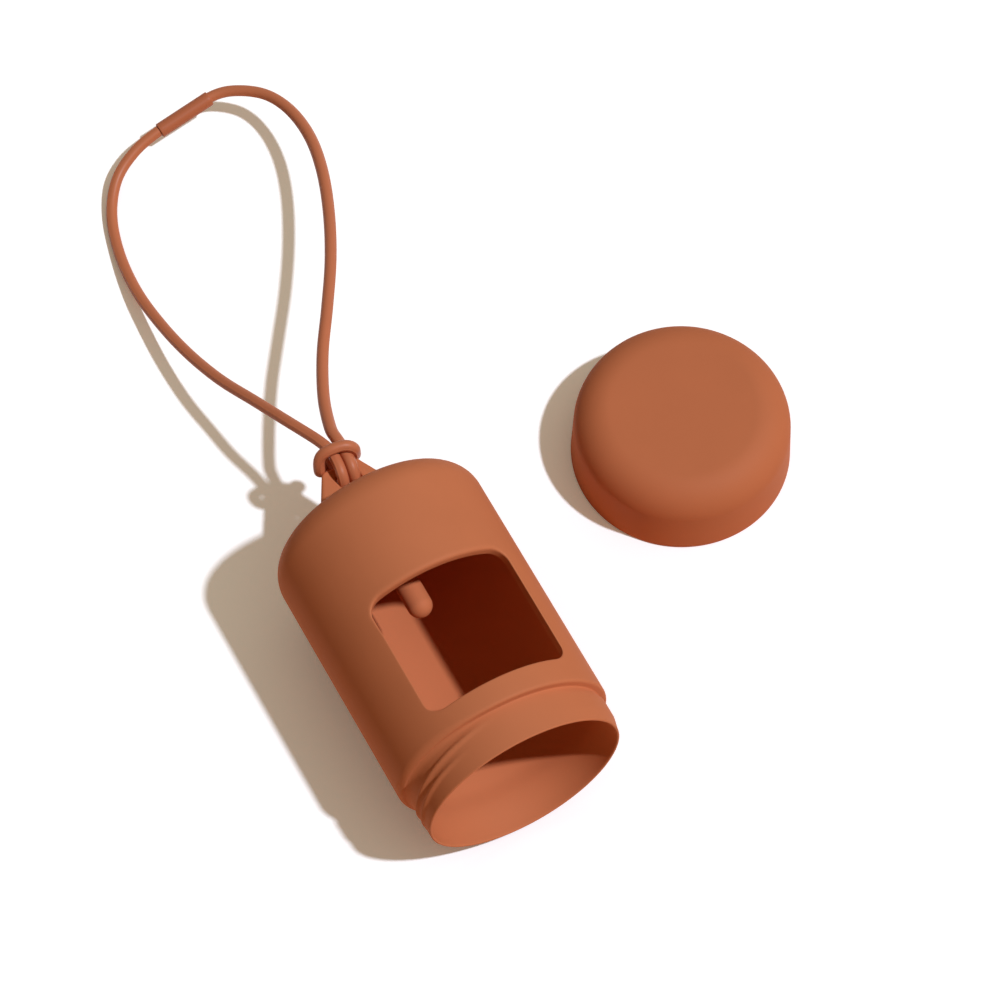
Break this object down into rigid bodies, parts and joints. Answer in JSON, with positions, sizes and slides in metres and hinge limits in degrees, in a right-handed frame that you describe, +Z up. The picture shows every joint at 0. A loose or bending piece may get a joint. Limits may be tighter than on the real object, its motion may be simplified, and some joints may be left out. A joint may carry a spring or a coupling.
{
  "type": "dog poop bag dispenser",
  "caption": "Cylindrical silicone bag-roll holder with a side window, inner roll peg, round screw cap and a hitched cord carry loop.",
  "frame": {"origin": "on the surface it lies on, under the middle of the box round the body and the cap; the cord loop is left out of that box", "axes": "+Z up; the body lies along Y with its open mouth towards -Y and its closed end and cord loop towards +Y; the cap stands mouth down beside it on +X"},
  "size_m": [0.106, 0.1662, 0.042],
  "materials": {
    "body_silicone": "matte, soft-touch moulded silicone in clay brown",
    "cap_silicone": "matte, soft-touch moulded silicone in clay brown",
    "cord_silicone": "satin extruded silicone in clay brown",
    "sleeve_silicone": "satin silicone in clay brown"
  },
  "bodies": {
    "body": {"body_shell": "body_silicone", "roll_peg": "body_silicone", "cord_lug": "body_silicone"},
    "cap": {"screw_cap": "cap_silicone"},
    "cord_loop": {"cord_left_run": "cord_silicone", "cord_right_run": "cord_silicone", "cord_hitch": "cord_silicone", "joining_sleeve": "sleeve_silicone"}
  },
  "joints": [
    {"name": "cap_lift", "type": "slide", "parent": "body", "child": "cap", "axis": [0, 0, 1], "range_m": [0, 0.06]},
    {"name": "loop_swing", "type": "hinge", "parent": "body", "child": "cord_loop", "pos_m": [-0.032, 0.03435, 0.021], "axis": [1, 0, 0], "range_deg": [0, 70]}
  ]
}
